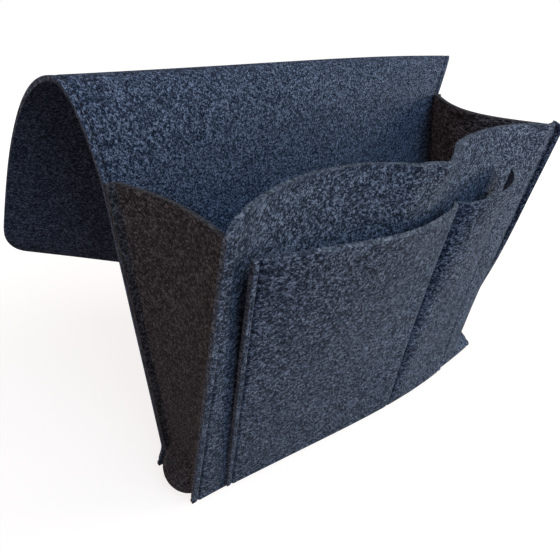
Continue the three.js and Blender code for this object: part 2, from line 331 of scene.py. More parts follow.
@dataclass(frozen=True)
class HeatherFelt:
    """Pressed felt of mixed fibres: a dark ground with pale and black flecks and a soft nap."""

    name: str
    ground: Colour
    pale: Colour
    black: Colour
    roughness: float = 1.0
    gloss: float = 0.02
    sheen: float = 0.03
    sheen_roughness: float = 0.6
    fleck_scales: tuple[float, ...] = (1800.0, 1080.0, 610.0)
    fleck_shares: tuple[float, ...] = (0.36, 0.36, 0.28)
    fleck_relief: float = 0.4
    pale_range: tuple[float, float] = (0.43, 0.88)
    black_range: tuple[float, float] = (0.52, 0.15)
    cloud_detail: float = 3.0
    mottle_scale: float = 38.0
    mottle_warp: float = 0.6
    mottle_range: tuple[float, float] = (0.3, 0.7)
    mottle_share: float = 0.15
    nap_scale: float = 700.0
    nap_warp: float = 0.5
    nap_strength: float = 1.0
    nap_depth: float = 0.0008
    on_cut_edge: bool = False

    def material(self) -> bpy.types.Material:
        """Make the felt as a material.

        Returns:
            The material, which reads the sheet's own map, or the place in space on a cut edge.
        """
        made = bpy.data.materials.new(self.name)
        bench = NodeBench(made)
        place = bench.add("ShaderNodeTexCoord").outputs["Object" if self.on_cut_edge else "UV"]
        layers = [
            bench.math("MULTIPLY", bench.flecks(place, scale), share)
            for scale, share in zip(self.fleck_scales, self.fleck_shares)
        ]
        fleck = layers[0]
        for coarser in layers[1:]:
            fleck = bench.math("ADD", fleck, coarser)
        flecked = bench.mix(bench.step(fleck, *self.pale_range), self.ground, self.pale)
        darkened = bench.mix(bench.step(fleck, *self.black_range), flecked, self.black)
        clouds = bench.noise(place, self.mottle_scale, self.cloud_detail, self.mottle_warp)
        mottle = bench.math("MULTIPLY", bench.step(clouds, *self.mottle_range), self.mottle_share)
        nap = bench.noise(place, self.nap_scale, self.cloud_detail, self.nap_warp)
        height = bench.math("ADD", nap, bench.math("MULTIPLY", fleck, self.fleck_relief))
        inputs = {
            "Base Color": bench.mix(mottle, darkened, self.ground),
            "Roughness": self.roughness,
            "Specular IOR Level": self.gloss,
            "Sheen Weight": self.sheen,
            "Sheen Roughness": self.sheen_roughness,
        }
        bench.surface(inputs, height, self.nap_strength, self.nap_depth)
        return made


@dataclass(frozen=True)
class SewingThread:
    """Twisted polyester thread with a slight gloss."""

    name: str
    colour: Colour
    shade: Colour
    roughness: float = 0.55
    gloss: float = 0.1
    twist_scale: float = 1500.0
    twist_waver: float = 1.5
    ply_strength: float = 0.4
    ply_depth: float = 0.0001

    def material(self) -> bpy.types.Material:
        """Make the thread as a material.

        Returns:
            The material, with its ply as slanting bands.
        """
        made = bpy.data.materials.new(self.name)
        bench = NodeBench(made)
        place = bench.add("ShaderNodeTexCoord").outputs["Object"]
        twist = {"Vector": place, "Scale": self.twist_scale, "Distortion": self.twist_waver}
        ply = bench.add("ShaderNodeTexWave", twist, bands_direction="DIAGONAL").outputs["Fac"]
        inputs = {
            "Base Color": bench.mix(ply, self.colour, self.shade),
            "Roughness": self.roughness,
            "Specular IOR Level": self.gloss,
        }
        bench.surface(inputs, ply, self.ply_strength, self.ply_depth)
        return made


@dataclass
class FeltStock:
    """The finishes, each made once and handed to the pieces."""

    navy: HeatherFelt = HeatherFelt(
        "navy_heather",
        ground=(0.013, 0.021, 0.043, 1), pale=(0.185, 0.235, 0.340, 1), black=(0.003, 0.005, 0.011, 1))
    # The charcoal felt is painted shade: its darker, warmer colour paints the shade on the pouch's sides
    # into the navy felt of the gusset strip.
    charcoal_painted_shade: HeatherFelt = HeatherFelt(
        "charcoal_heather_painted_shade",
        ground=(0.021, 0.020, 0.023, 1), pale=(0.140, 0.135, 0.148, 1), black=(0.004, 0.004, 0.005, 1))
    edge: HeatherFelt = HeatherFelt(
        "cut_edge", on_cut_edge=True,
        ground=(0.038, 0.050, 0.074, 1), pale=(0.20, 0.23, 0.28, 1), black=(0.012, 0.016, 0.024, 1))
    # The charcoal's cut edge is darker and greyer than the navy cut edge for the same painted shade.
    dark_edge_painted_shade: HeatherFelt = HeatherFelt(
        "dark_cut_edge_painted_shade", on_cut_edge=True,
        ground=(0.034, 0.032, 0.034, 1), pale=(0.14, 0.13, 0.135, 1), black=(0.009, 0.009, 0.010, 1))
    # The thread's near-black colour is partly its own dark colour and partly painted shade: it is darkened
    # to give the shade in the seams' pressed grooves.
    thread: SewingThread = SewingThread(
        "sewing_thread_and_groove_shade", colour=(0.007, 0.008, 0.011, 1), shade=(0.003, 0.0035, 0.005, 1))
    made: dict[str, bpy.types.Material] = field(default_factory=dict)

    def get(self, finish: HeatherFelt | SewingThread) -> bpy.types.Material:
        """The material of a finish, made at its first use."""
        if finish.name not in self.made:
            self.made[finish.name] = finish.material()
        return self.made[finish.name]

    def pair(self, felt: Felt) -> tuple[bpy.types.Material, bpy.types.Material]:
        """A felt's face and its cut edge."""
        if felt is Felt.NAVY:
            return self.get(self.navy), self.get(self.edge)
        return self.get(self.charcoal_painted_shade), self.get(self.dark_edge_painted_shade)


@dataclass(frozen=True)
class SideProfile:
    """One side of the soft pouch, which stands a little racked."""

    sign: int
    base_depth: float
    front_reach: float
    margin_pull: float
    draw_in: float
    fin_turn: float
    front_corner: float
    gusset_back: float
    gusset_drop: float
    gusset_bow: float
    fold_rise: float
    fold_reach: float
    flap_reach: float
    flap_fall: float
    flap_flare: float
    flap_arch: float
    flap_turn: tuple[float, float]

    def crest(self) -> tuple[float, float]:
        """Top of the fold, in Y and Z."""
        return self.fold_reach, self.gusset_back + self.fold_rise


LEFT = SideProfile(
    sign=-1, base_depth=49.5, front_reach=138, margin_pull=0, draw_in=6,
    fin_turn=0, front_corner=8,
    gusset_back=211, gusset_drop=9, gusset_bow=6, fold_rise=51, fold_reach=22.5,
    flap_reach=138.5, flap_fall=135, flap_flare=27.5, flap_arch=41, flap_turn=(40, 60))
RIGHT = SideProfile(
    sign=1, base_depth=55, front_reach=104, margin_pull=20, draw_in=19,
    fin_turn=60, front_corner=8,
    gusset_back=234, gusset_drop=2, gusset_bow=24, fold_rise=26, fold_reach=4.5,
    flap_reach=71.5, flap_fall=237, flap_flare=-8, flap_arch=30, flap_turn=(20, 88))


@dataclass(frozen=True)
class PouchForm:
    """The pattern of the caddy: sizes that its pieces share, and the surfaces that they lie on."""

    felt: float = 3.0
    clear: float = 0.3
    seam_gap: float = 0.08
    flange: float = 7.5
    flange_trim: float = 0.5
    bend_radius: float = 3.2
    seam_inset: float = 4.6
    width: float = 320.0
    ear_height: float = 16.0
    ear: float = 6.0
    front_height: float = 222.0
    mount_height: float = 105.0
    base_bow: float = 11.0
    base_bow_skew: float = 1.475
    base_bow_fade: float = 1.5
    corner_radius: float = 8.0
    corner_bulge: float = 15.0
    corner_bulge_skew: float = 2.0
    corner_bulge_rise: float = 2.0
    corner_bulge_run: float = 16.0
    corner_bulge_back: float = 14.0
    corner_bulge_front: float = 32.0
    corner_bulge_shape: float = 0.4
    gusset_lead: float = 11.0
    margin: float = 50.0
    fin_from: float = 20.0
    fin_rise: float = 140.0
    flap_corner: float = 30.0
    crest_bow: float = 1.7
    crest_bow_skew: float = 1.8
    crest_bow_reach: float = 0.7
    fold_rise: float = 0.56
    fold_lead: float = 0.75
    pocket_left_inset: float = 14.0
    pocket_foot_inset: float = 26.0
    pocket_foot_rise: float = 2.2
    pocket_foot_run: tuple[float, float] = (110.0, 45.0)
    pocket_foot_fade: int = 6
    pocket_right_inset: float = 61.0
    divider: float = 22.0
    pocket_seam: float = 4.0
    mouth_left_drop: float = 19.0
    mouth_divider_drop: float = 32.0
    mouth_right_drop: float = 24.0
    left_gape: float = 20.0
    right_gape: float = 17.0
    gape_fade: float = 2.4
    puff: tuple[float, float] = (2.6, 4.2)
    puff_run: float = 8.0
    puff_foot: float = 10.0
    lobe_insets: tuple[float, float] = (3.0, 20.0)
    lobe_gaps: tuple[float, float] = (50.0, 26.0)
    lobe_depths: tuple[float, float] = (18.0, 14.0)
    lobe_shape: float = 0.9
    lobe_fade: float = 2.2
    lobe_lift: float = 0.3
    ridge: float = 5.0
    ridge_at: float = 2.0
    ridge_half: float = 24.0
    ridge_drop: float = 0.4
    pressed_share: float = 0.38
    thread_proud: float = 0.03
    band_lean: float = 0.15
    band_from: float = 5.0
    band_to: float = 34.0

    @property
    def half(self) -> float:
        """Half the width over the ears."""
        return self.width / 2

    @property
    def back_mid(self) -> float:
        """Y of the back panel's mid-plane."""
        return -self.felt / 2

    @property
    def lobes(self) -> tuple[Triple, Triple]:
        """Start, end and depth of the stretches where the front's upper edge lies back."""
        return (
            (self.lobe_insets[0] - self.half, self.divider - self.lobe_gaps[0], self.lobe_depths[0]),
            (self.divider - self.lobe_gaps[1], self.half - self.lobe_insets[1], self.lobe_depths[1]),
        )

    @property
    def thread_level(self) -> float:
        """Distance of a stitch from the felt's mid-surface, in the groove that its seam presses."""
        return self.felt * (self.pressed_share / 2 + self.thread_proud)

    def across(self, left: float, right: float, x: float) -> float:
        """Value between the two sides at a place across."""
        return lerp(left, right, (x + self.half) / self.width)

    def back_half(self, side: SideProfile, z: float) -> float:
        """Half width of the back panel: an ear at the foot, and drawn in by the gusset above it."""
        draw_in = lerp(self.ear, side.draw_in, clamp01(z / side.gusset_back))
        return self.half - draw_in * smooth(z / self.ear_height)

    @property
    def seam_half(self) -> float:
        """Half the distance between the lines where the gussets meet the front."""
        return self.half - self.flange

    def fin_angle(self, side: SideProfile, z: float) -> float:
        """Turn of the front's seam, which stands forward where the gusset is drawn in."""
        return math.radians(side.fin_turn) * smooth((z - self.fin_from) / self.fin_rise)

    def across_front(self, flat: float, z: float) -> float:
        """X of a place across the front panel, counted on the flat sheet."""
        side = LEFT if flat < 0 else RIGHT
        past = max(0.0, abs(flat) - self.seam_half)
        return side.sign * (min(abs(flat), self.seam_half) + past * math.cos(self.fin_angle(side, z)))

    def fin_forward(self, x: float, z: float) -> float:
        """How far the turned seam stands forward."""
        side = LEFT if x < 0 else RIGHT
        return max(0.0, abs(x) - self.seam_half) * math.tan(self.fin_angle(side, z))

    def corner_cut(self, distance: float, radius: float) -> float:
        """How far a rounded corner cuts in at a distance from the edge."""
        inside = min(radius, max(0.0, radius - distance))
        return radius - math.sqrt(radius**2 - inside**2)

    def lobe(self, x: float) -> float:
        """How far the front's upper edge lies back at a place across."""
        depth = 0.0
        for start, end, full in self.lobes:
            share = (x - start) / (end - start) * 2 - 1
            depth += full * max(0.0, 1 - share**2) ** self.lobe_shape
        return depth

    def pull(self, x: float, z: float) -> float:
        """How far a folded gusset pulls the front's margin back above the ear."""
        side = LEFT if x < 0 else RIGHT
        near_edge = max(0.0, (abs(x) - self.half + self.margin) / self.margin)
        fade = smooth(z / self.ear_height) * max(0.0, 1 - z / self.front_height)
        return side.margin_pull * near_edge**2 * fade

    def front_plane(self, x: float, z: float) -> float:
        """Y of the leaning front without its lobes."""
        rise = z / self.front_height
        across = clamp01((x + self.half) / self.width)
        bow = self.base_bow * math.sin(math.pi * across**self.base_bow_skew)
        bow *= max(0.0, 1 - rise) ** self.base_bow_fade
        depth = self.across(LEFT.base_depth, RIGHT.base_depth, x)
        reach = self.across(LEFT.front_reach, RIGHT.front_reach, x)
        return self.back_mid - lerp(depth, reach, rise) - bow + self.pull(x, z) - self.fin_forward(x, z)

    def front_y(self, x: float, z: float) -> float:
        """Y of the front panel's mid-surface."""
        back = self.lobe(x) * max(0.0, z / self.front_height) ** self.lobe_fade
        return self.front_plane(x, z) + back - self.ridge_forward(x, z)

    def ridge_forward(self, x: float, z: float) -> float:
        """How far the upper edge is drawn forward between its two lobes, above the pockets' mouths."""
        side = max(0.0, 1 - ((x - self.ridge_at) / self.ridge_half) ** 2)
        start = self.front_height - self.mouth_divider_drop + self.felt
        return self.ridge * side**2 * smooth((z - start) / (self.front_height - start))

    def front_step(self, x: float, z: float, gap: float) -> float:
        """Distance along Y that keeps a gap square to the leaning front."""
        slope_x = self.front_y(x + 1, z) - self.front_y(x, z)
        slope_z = self.front_y(x, z + 1) - self.front_y(x, z)
        return gap * math.sqrt(1 + slope_x**2 + slope_z**2)

    def front_point(self, x: float, z: float) -> Vector:
        """Point of the front panel's mid-surface."""
        lift = self.lobe_lift * self.lobe(x) * max(0.0, z / self.front_height) ** self.lobe_fade
        drop = self.ridge_drop * self.ridge_forward(x, z)
        return Vector((x, self.front_y(x, z), z + lift - drop))

    @property
    def pocket_right(self) -> float:
        """Right end of the pocket panel."""
        return self.half - self.pocket_right_inset

    def pocket_left(self, z: float) -> float:
        """Left end of the pocket panel at a height."""
        share = z / (self.front_height - self.mouth_left_drop)
        return lerp(self.pocket_foot_inset, self.pocket_left_inset, share) - self.half

    def mouth_height(self, x: float) -> float:
        """Height of the pockets' mouths at a place across."""
        left, divider, right = (
            self.front_height - drop
            for drop in (self.mouth_left_drop, self.mouth_divider_drop, self.mouth_right_drop)
        )
        start = self.pocket_left_inset - self.half
        if x < self.divider:
            return lerp(left, divider, smooth((x - start) / (self.divider - start)))
        return lerp(divider, right, smooth((x - self.divider) / (self.pocket_right - self.divider)))

    def pocket_point(self, x: float, share: float) -> Vector:
        """Point of the pocket panel's mid-surface.

        Args:
            x: Place across.
            share: Share of the mouth's height there.

        Returns:
            The point, which gapes forward towards the mouth.
        """
        z = share * self.mouth_height(x)
        on_left = x < self.divider
        start = self.pocket_left(z) + self.pocket_seam if on_left else self.divider
        end = self.divider if on_left else self.pocket_right - self.pocket_seam
        across = clamp01((x - start) / (end - start)) * 2 - 1
        full = self.left_gape if on_left else self.right_gape
        gape = full * (1 - across**2) * share**self.gape_fade
        y = self.front_plane(x, z) - self.front_step(x, z, self.felt + self.seam_gap) - gape
        y -= self.divider_puff(x, z)
        from_left = (x + self.half - self.pocket_foot_inset) / self.pocket_foot_run[0]
        from_right = (self.pocket_right - x) / self.pocket_foot_run[1]
        rise = self.pocket_foot_rise * clamp01(1 - min(from_left, from_right))
        rise *= (1 - share) ** self.pocket_foot_fade
        return Vector((x, y, z + rise))

    def divider_puff(self, x: float, z: float) -> float:
        """How far the pockets puff out beside the seam that divides them."""
        away = abs(x - self.divider) / self.puff_run
        full = self.puff[0] if x < self.divider else self.puff[1]
        return full * away * math.exp(1 - away) * smooth(z / self.puff_foot)

    def rising(self, side: SideProfile) -> list[tuple[float, float]]:
        """Curve of one side from the gusset's end to the crest."""
        y, z = side.crest()
        foot = side.gusset_back
        return [
            (self.back_mid, foot),
            (self.back_mid, lerp(foot, z, self.fold_rise)),
            (lerp(y, self.back_mid, self.fold_lead), z),
            (y, z),
        ]

    def falling(self, side: SideProfile) -> list[tuple[float, float]]:
        """Curve of one side from the crest to the flap's free end."""
        y, z = side.crest()
        end_y, end_z = y + side.flap_reach, z - side.flap_fall
        turn_y, turn_z = side.flap_turn
        return [(y, z), (y + side.flap_arch, z), (end_y - turn_y, end_z + turn_z), (end_y, end_z)]

    def sheet_point(self, u: float, t: float) -> Vector:
        """Point of the long back sheet.

        Args:
            u: Place across, from -1 on the left to 1 on the right.
            t: Place along it: -2 at its foot, -1 at the gussets' ends, 0 at the crest, 1 at the free end.

        Returns:
            The point of its mid-surface.
        """
        ends = []
        for side in (LEFT, RIGHT):
            if t < -1:
                z = (t + 2) * side.gusset_back
                ends.append(Vector((side.sign * self.back_half(side, z), self.back_mid, z)))
                continue
            if t < 0:
                y, z = bezier(self.rising(side), 1 + t)
                half = lerp(self.half, self.half - side.draw_in, -t)
            else:
                y, z = bezier(self.falling(side), t)
                half = self.half + side.flap_flare * t
                length = math.hypot(LEFT.flap_reach, LEFT.flap_fall)
                half -= self.corner_cut((1 - t) * length, self.flap_corner)
            ends.append(Vector((side.sign * half, y, z)))
        point = ends[0].lerp(ends[1], (u + 1) / 2)
        bow = self.crest_bow * math.sin(math.pi * clamp01((u + 1) / 2) ** self.crest_bow_skew)
        point.z += bow * max(0.0, 1 - (t / self.crest_bow_reach) ** 2) ** 2
        return point

    def placed(self, point: Vector) -> Vector:
        """A point of the pattern in the part's frame, in metres."""
        return Vector((point.x, point.y, point.z - self.mount_height)) * MM

    def fold_band(self) -> tuple[Triple, Triple]:
        """Start and end of the band across the crest where the sheet bends with the flap.

        Returns:
            Two points in the part's frame, in metres.
        """
        left, right = LEFT.crest(), RIGHT.crest()
        direction = Vector(((left[0] - right[0]) / self.width, 1.0, self.band_lean))
        middle = self.placed(Vector((0.0, 0.0, (left[1] + right[1]) / 2)))
        unit = direction * (MM / direction.length_squared)
        return tuple(middle + unit * self.band_from), tuple(middle + unit * self.band_to)


FORM = PouchForm()


def normal_at(place: Place, u: float, v: float, du: float, dv: float) -> Vector:
    """Direction square to a surface. With u to the right and v up, it points to the front.

    Args:
        place: The surface.
        u: First place on it.
        v: Second place on it.
        du: Small step in u.
        dv: Small step in v.

    Returns:
        The unit normal.
    """
    along = place(u + du, v) - place(u - du, v)
    up = place(u, v + dv) - place(u, v - dv)
    return along.cross(up).normalized()


@dataclass
class FeltCutter:
    """Cuts a felt sheet: a grid shaped to its surface, with thickness, a rim of cut felt and soft edges."""

    stock: FeltStock
    thickness: float = FORM.felt
    edge_soft: float = 0.55
    edge_segments: int = 2
    edge_angle: float = 50.0
    waver: float = 0.35
    waver_length: float = 45.0

    def cut(self, name: str, columns: Sequence[float], rows: Sequence[float], place: Place,
            pressed: Share, felt: Felt, grain: float = 1.0) -> bpy.types.Object:
        """Make one sheet.

        Args:
            name: Name of the piece.
            columns: Grid lines across.
            rows: Grid lines along.
            place: Point of the mid-surface for a column and a row, in millimetres.
            pressed: How far the felt is pressed thin there by a seam, from 0 to 1.
            felt: Which felt it is cut from.
            grain: How much finer its flecks are than the felt's usual ones.

        Returns:
            The sheet, with its thickness as a modifier.
        """
        bm = bmesh.new()
        uv = bm.loops.layers.uv.new("felt_map")
        thin = bm.verts.layers.deform.verify()
        wide, high = len(columns) - 1, len(rows) - 1
        bmesh.ops.create_grid(bm, x_segments=wide, y_segments=high, size=1.0)
        middle, level = columns[len(columns) // 2], rows[len(rows) // 2]
        across = lengths([place(column, level) for column in columns])
        along = lengths([place(middle, row) for row in rows])
        spots = {
            vert: (round((vert.co.x + 1) / 2 * wide), round((vert.co.y + 1) / 2 * high))
            for vert in bm.verts
        }
        for vert, (i, j) in spots.items():
            point = place(columns[i], rows[j])
            press = pressed(columns[i], rows[j])
            sway = noise.noise(point / self.waver_length) * self.waver * (1 - press)
            vert.co = FORM.placed(point + Vector((0.0, sway, 0.0)))
            vert[thin][0] = 1 - (1 - FORM.pressed_share) * press
        for face in bm.faces:
            face.smooth = True
            for loop in face.loops:
                i, j = spots[loop.vert]
                loop[uv].uv = (across[i] * MM * grain, along[j] * MM * grain)
        sheet = put(name, mesh_of(name, bm))
        for material in self.stock.pair(felt):
            sheet.data.materials.append(material)
        group = sheet.vertex_groups.new(name="felt_thickness")
        shell = sheet.modifiers.new("felt_thickness", "SOLIDIFY")
        shell.thickness = self.thickness * MM
        shell.offset = 0.0
        shell.use_even_offset = True
        shell.vertex_group = group.name
        shell.material_offset_rim = 1
        soft = sheet.modifiers.new("soft_edges", "BEVEL")
        soft.width = self.edge_soft * MM
        soft.segments = self.edge_segments
        soft.limit_method = "ANGLE"
        soft.angle_limit = math.radians(self.edge_angle)
        LOG.info("%s: %d x %d grid", name, wide, high)
        return sheet


@dataclass
class Sewer:
    """Sews stitches along a seam: each one a short bent thread whose ends go into the felt."""

    stock: FeltStock
    pitch: float = 3.6
    gap: float = 0.7
    radius: float = 0.42
    sides: int = 6
    rings: int = 5
    slim_from: float = 0.12
    slim_run: float = 0.76
    crown: float = 1.5
    sunk: float = 1.1

    def stitch(self) -> bpy.types.Mesh:
        """Make one stitch along X, of unit length, its crown to +Z.

        Returns:
            The stitch as a mesh.
        """
        bm = bmesh.new()
        bmesh.ops.create_grid(bm, x_segments=self.sides, y_segments=self.rings, size=1.0)
        for vert in bm.verts:
            turn = (vert.co.x + 1) * math.pi
            share = (vert.co.y + 1) / 2
            slim = math.sin(math.pi * (self.slim_from + self.slim_run * share)) ** 0.5
            level = math.sin(math.pi * share) * self.crown - self.sunk
            vert.co = Vector((share - 0.5, math.cos(turn) * slim, math.sin(turn) * slim + level))
        bmesh.ops.remove_doubles(bm, verts=bm.verts, dist=1e-5)
        bmesh.ops.holes_fill(bm, edges=[e for e in bm.edges if e.is_boundary], sides=0)
        bmesh.ops.recalc_face_normals(bm, faces=bm.faces)
        for face in bm.faces:
            face.smooth = True
        return mesh_of("stitch", bm)

    def sew(self, name: str, runs: Sequence[Sequence[Spot]]) -> bpy.types.Object:
        """Sew runs of stitches into one piece.

        Args:
            name: Name of the piece.
            runs: For each run, close points on the felt's surface with their outward normals.

        Returns:
            The stitches as one object.
        """
        pattern = self.stitch()
        bm = bmesh.new()
        for run in runs:
            marks = lengths([point for point, _ in run])
            count = max(1, int(marks[-1] / self.pitch))
            step = marks[-1] / count
            ends = (self.gap / 2, step - self.gap / 2)
            for n in range(count):
                (start, first), (end, second) = (self.along(run, marks, n * step + part) for part in ends)
                axis = end - start
                up = (first + second).normalized()
                side = up.cross(axis).normalized()
                up = axis.cross(side).normalized()
                before = len(bm.verts)
                bm.from_mesh(pattern)
                bm.verts.ensure_lookup_table()
                turn = Matrix((axis, side * self.radius, up * self.radius)).transposed().to_4x4()
                middle = Matrix.Translation((start + end) / 2)
                bmesh.ops.transform(bm, matrix=middle @ turn, verts=bm.verts[before:])
        for vert in bm.verts:
            vert.co = FORM.placed(vert.co)
        bpy.data.meshes.remove(pattern)
        made = put(name, mesh_of(name, bm))
        made.data.materials.append(self.stock.get(self.stock.thread))
        LOG.info("%s: %d faces", name, len(made.data.polygons))
        return made

    @staticmethod
    def along(run: Sequence[Spot], marks: Sequence[float], at: float) -> Spot:
        """Point and normal at a length along a run, whose points lie at the marked lengths."""
        last = len(run) - 1
        n = next((k for k in range(1, last) if marks[k] >= at), last)
        share = (at - marks[n - 1]) / max(1e-9, marks[n] - marks[n - 1])
        (start, first), (end, second) = run[n - 1], run[n]
        return start.lerp(end, share), first.lerp(second, share).normalized()


def near(distance: float, reach: float) -> float:
    """How strongly a seam presses the felt at a distance from it."""
    return smooth(1 - abs(distance) / reach)


@dataclass
class SewnSheet:
    """What the sheets with stitched seams share."""

    cutter: FeltCutter
    sewer: Sewer
    groove: float = 1.5
    seam_fine: float = 3.0
    side_steps: int = 80
    foot_steps: int = 60
    foot_ends: float = 2.2
    probe: tuple[float, float] = (0.004, 0.004)

    def place(self, u: float, v: float) -> Vector:
        """Point of the sheet's mid-surface."""
        raise NotImplementedError

    def on_face(self, u: float, v: float, face: int = 1) -> Spot:
        """Point on one face of the sheet, in a seam's groove, with its outward normal."""
        normal = normal_at(self.place, u, v, *self.probe) * face
        return self.place(u, v) + normal * FORM.thread_level, normal


@dataclass
class BackSheet(SewnSheet):
    """The long sheet of the back: behind the pouch, over the fold and down the flap."""

    groove: float = 2.1
    groove_end: float = 0.05
    grain: float = 1.45
    side_steps: int = 160
    seam_from: float = 0.03
    seam_to: float = -0.06

    def place(self, u: float, t: float) -> Vector:
        """Point of the sheet's mid-surface."""
        return FORM.sheet_point(u, t)

    def pressed(self, u: float, t: float) -> float:
        """Seams along both sides up to the crest, and along the foot."""
        point = self.place(u, t)
        edge = FORM.half * (1 - abs(u))
        side = near(edge - FORM.seam_inset, self.groove) * (1 - smooth(t / self.groove_end))
        foot = near(point.z - FORM.seam_inset, self.groove) if t < -1 else 0.0
        return max(side, foot)

    def build(self) -> None:
        """Make the sheet and the stitches of its seams."""
        inset = FORM.seam_inset / FORM.half
        fine = self.seam_fine / FORM.half
        columns = spaced(
            (-1, -1 + inset - fine, -1 + inset + fine, 1 - inset - fine, 1 - inset + fine, 1),
            (0.01, 0.003, 0.034, 0.003, 0.01))
        foot = FORM.seam_inset / LEFT.gusset_back
        rows = spaced(
            (-2, -2 + foot * 2, -2 + 0.11, -1, 0, 0.25, 0.85, 1),
            (0.005, 0.012, 0.04, 0.04, 0.025, 0.025, 0.007))
        sheet = self.cutter.cut(
            "back_sheet", columns, rows, self.place, self.pressed, Felt.NAVY, self.grain)
        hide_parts("back_panel", "top_fold", "flap")
        start, end = FORM.fold_band()
        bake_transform(sheet)
        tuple(start)
        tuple(end)
        runs = [self.side_run(side, face) for side in (-1, 1) for face in FACES]
        runs += [self.foot_run(face) for face in FACES]
        stitches = self.sewer.sew("back_stitches", runs)
        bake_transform(stitches)
        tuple(start)
        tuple(end)

    def side_run(self, side: int, face: int) -> list[Spot]:
        """Stitches along one side edge, from the foot to the crest."""
        u = side * (1 - FORM.seam_inset / FORM.half)
        start = -2 + self.seam_from
        return [self.on_face(u, lerp(start, self.seam_to, s), face) for s in shares(self.side_steps)]

    def foot_run(self, face: int) -> list[Spot]:
        """Stitches along the foot."""
        reach = 1 - self.foot_ends * FORM.flange / FORM.half
        run = []
        for share in shares(self.foot_steps):
            u = lerp(-reach, reach, share)
            foot = FORM.across(LEFT.gusset_back, RIGHT.gusset_back, u * FORM.half)
            run.append(self.on_face(u, -2 + FORM.seam_inset / foot, face))
        return run


@dataclass
class FrontPanel(SewnSheet):
    """The front of the pouch: square ears at its foot, and an upper edge that lies back in two lobes."""

    probe: tuple[float, float] = (0.004, 0.8)
    side_steps: int = 90
    foot_steps: int = 80
    seam_from: float = 6.0
    seam_end: float = 2.0

    def place(self, across: float, z: float) -> Vector:
        """Point of the mid-surface at a share across and a height."""
        left, right = (
            side.sign * (FORM.half - FORM.corner_cut(FORM.front_height - z, side.front_corner))
            for side in (LEFT, RIGHT)
        )
        return FORM.front_point(FORM.across_front(lerp(left, right, across), z), z)

    def pressed(self, across: float, z: float) -> float:
        """Seams along both sides and the foot."""
        edge = min(across, 1 - across) * FORM.width
        return max(near(edge - FORM.seam_inset, self.groove), near(z - FORM.seam_inset, self.groove))

    def build(self) -> None:
        """Make the panel and the stitches of its side and foot seams."""
        inset = FORM.seam_inset / FORM.width
        fine = self.seam_fine / FORM.width
        columns = spaced(
            (0, inset - fine, inset + fine, 1 - inset - fine, 1 - inset + fine, 1),
            (0.005, 0.0016, 0.011, 0.0016, 0.005))
        top = FORM.front_height
        rows = spaced((0, 10, FORM.ear_height, top - 16, top - 3, top), (1.0, 2.0, 4.0, 1.3, 0.5))
        panel = self.cutter.cut("front_sheet", columns, rows, self.place, self.pressed, Felt.NAVY)
        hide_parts("front_panel")
        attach(panel, "front")
        heights = [lerp(self.seam_from, top - self.seam_end, s) for s in shares(self.side_steps)]
        runs = [
            [self.on_face(across, z, face) for z in heights]
            for across in (inset, 1 - inset)
            for face in FACES
        ]
        reach = self.foot_ends * FORM.flange / FORM.width
        foot = [lerp(reach, 1 - reach, s) for s in shares(self.foot_steps)]
        runs += [[self.on_face(across, FORM.seam_inset, face) for across in foot] for face in FACES]
        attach(self.sewer.sew("front_stitches", runs), "front")


@dataclass
class PocketPanel(SewnSheet):
    """The outer panel that makes a wide and a narrow pocket, with gaping mouths."""

    probe: tuple[float, float] = (0.004, 0.005)
    seam_from: float = 0.01
    seam_run: float = 0.985

    def place(self, across: float, share: float) -> Vector:
        """Point of the mid-surface: across is from 0 to 1 over the left pocket, and to 2 over the right."""
        edge = FORM.pocket_left(share * (FORM.front_height - FORM.mouth_left_drop))
        if across <= 1:
            return FORM.pocket_point(lerp(edge, FORM.divider, across), share)
        return FORM.pocket_point(lerp(FORM.divider, FORM.pocket_right, across - 1), share)

    def pressed(self, across: float, share: float) -> float:
        """Seams along both ends, the divider and the foot."""
        point = self.place(across, share)
        ends = min(
            abs(point.x - FORM.pocket_left(point.z) - FORM.pocket_seam),
            abs(FORM.pocket_right - FORM.pocket_seam - point.x),
            abs(point.x - FORM.divider))
        return max(near(ends, self.groove), near(point.z - FORM.seam_inset, self.groove))

    def build(self) -> None:
        """Make the panel and its stitches."""
        left = FORM.divider + FORM.half - FORM.pocket_left_inset
        right = FORM.pocket_right - FORM.divider
        seam_l, seam_r = FORM.pocket_seam / left, FORM.pocket_seam / right
        columns = spaced(
            (0, 2 * seam_l, 1 - 0.8 * seam_l, 1, 1 + 0.8 * seam_r, 2 - 2 * seam_r, 2),
            (0.003, 0.012, 0.003, 0.006, 0.02, 0.006))
        foot = 2 * FORM.seam_inset / FORM.mouth_height(0)
        rows = spaced((0, foot, 0.9, 1), (0.005, 0.018, 0.009))
        panel = self.cutter.cut("pocket_sheet", columns, rows, self.place, self.pressed, Felt.NAVY)
        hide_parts("pocket_panel")
        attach(panel, "front")
        heights = [s * self.seam_run + self.seam_from for s in shares(self.side_steps)]
        seams = (seam_l, 1.0, 2 - seam_r)
        runs = [[self.on_face(across, height) for height in heights] for across in seams]
        runs.append([self.on_foot(s * 2) for s in shares(self.foot_steps)[1:-1]])
        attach(self.sewer.sew("pocket_stitches", runs), "front")

    def on_foot(self, across: float) -> Spot:
        """Point of the foot seam on the outer face."""
        return self.on_face(across, FORM.seam_inset / FORM.mouth_height(self.place(across, 0.0).x))


